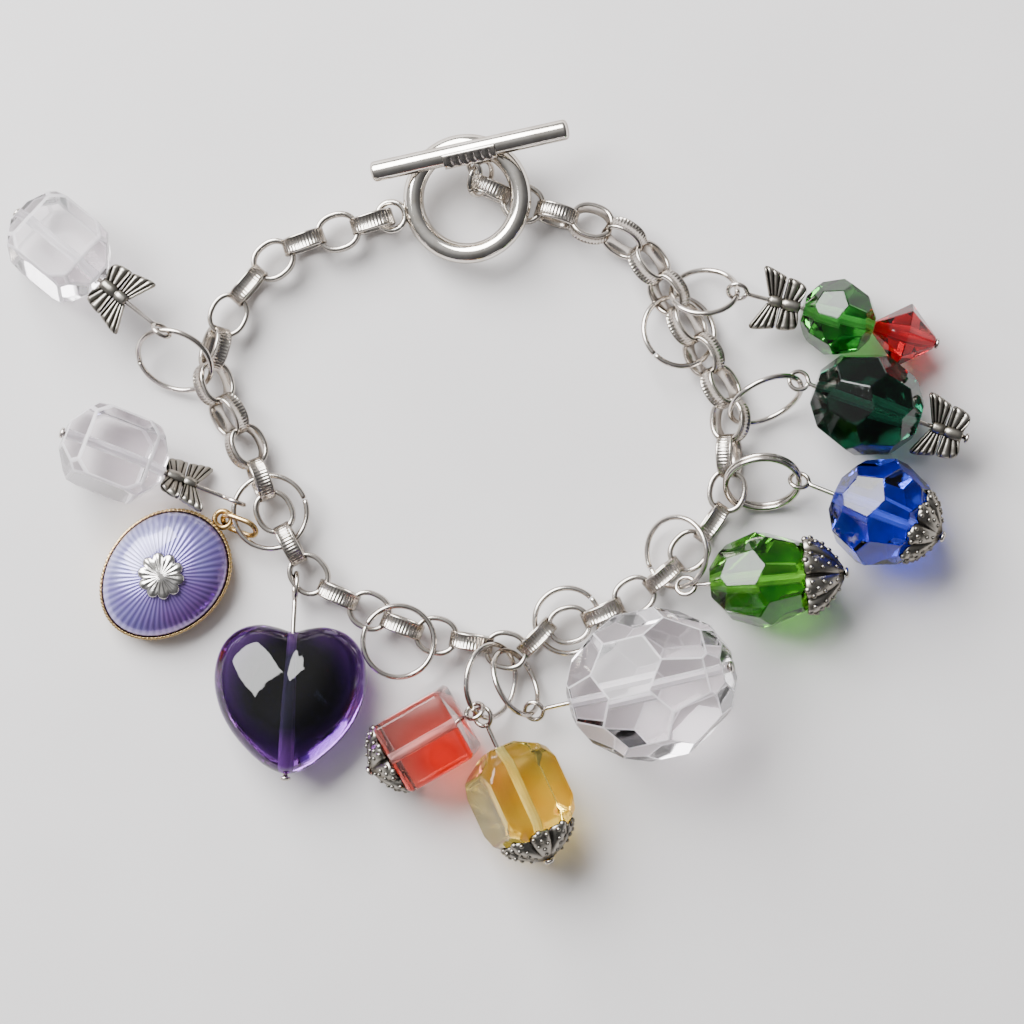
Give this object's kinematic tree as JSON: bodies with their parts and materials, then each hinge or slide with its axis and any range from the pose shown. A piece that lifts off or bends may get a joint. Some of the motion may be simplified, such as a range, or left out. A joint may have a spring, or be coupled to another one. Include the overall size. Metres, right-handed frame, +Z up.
{
  "type": "charm bracelet",
  "caption": "Silver charm bracelet lying in a closed loop: ribbed oval link chain, ring and bar toggle clasp, glass and acrylic bead charms on jump rings.",
  "frame": {"origin": "on the table, under the middle of the bracelet's bounding box", "axes": "+X across the closed loop from the two clear charms on the left to the green and blue ones on the right, +Y towards the toggle clasp, +Z up from the table"},
  "size_m": [0.1224, 0.0942, 0.0197],
  "materials": {
    "clear_acrylic": "clear moulded acrylic",
    "amber_acrylic": "clear amber acrylic",
    "red_acrylic": "clear pale red acrylic with an orange patch",
    "lime_glass": "faceted green glass",
    "green_glass": "faceted green glass",
    "dark_green_glass": "faceted dark green glass",
    "blue_glass": "faceted blue glass",
    "red_glass": "cut red glass",
    "purple_glass": "dark purple glass",
    "silver_chain": "silver plate, worn bright on the ribs, dark between them",
    "silver_polished": "polished silver plate",
    "silver_wire": "warm silver wire",
    "old_silver": "antique silver casting, dark in its hollows",
    "gilt": "gilt metal",
    "violet_enamel": "translucent violet enamel over engraved rays",
    "rosette_silver": "cast silver"
  },
  "bodies": {
    "root": {"chain": "silver_chain", "toggle_ring": "silver_polished", "bar_link": "silver_wire", "toggle_bar": "silver_polished", "ring_clear_1": "silver_wire", "ring_clear_2": "silver_wire", "ring_loose_1": "silver_wire", "ring_cube": "silver_wire", "ring_big": "silver_wire", "ring_loose_2": "silver_wire", "ring_lower_green": "silver_wire", "ring_blue": "silver_wire", "ring_dark_green": "silver_wire", "ring_small_green": "silver_wire", "ring_loose_3": "silver_wire", "butterfly_1": "old_silver", "bead_clear_1": "clear_acrylic", "pin_clear_1": "silver_wire", "butterfly_2": "old_silver", "bead_clear_2": "clear_acrylic", "pin_clear_2": "silver_wire", "bead_cube": "red_acrylic", "cap_cube": "old_silver", "pin_cube": "silver_wire", "bead_amber": "amber_acrylic", "cap_amber": "old_silver", "pin_amber": "silver_wire", "bead_big": "clear_acrylic", "pin_big": "silver_wire", "bead_lower_green": "lime_glass", "cap_lower_green": "old_silver", "pin_lower_green": "silver_wire", "bead_blue": "blue_glass", "cap_blue": "old_silver", "pin_blue": "silver_wire", "bead_dark_green": "dark_green_glass", "butterfly_3": "old_silver", "pin_dark_green": "silver_wire", "butterfly_4": "old_silver", "bead_small_green": "green_glass", "bead_red": "red_glass", "pin_small_green": "silver_wire", "bead_heart": "purple_glass", "pin_heart": "silver_wire", "egg_link": "gilt", "egg_case": "gilt", "egg_enamel": "violet_enamel", "egg_rosette": "rosette_silver"}
  },
  "joints": []
}
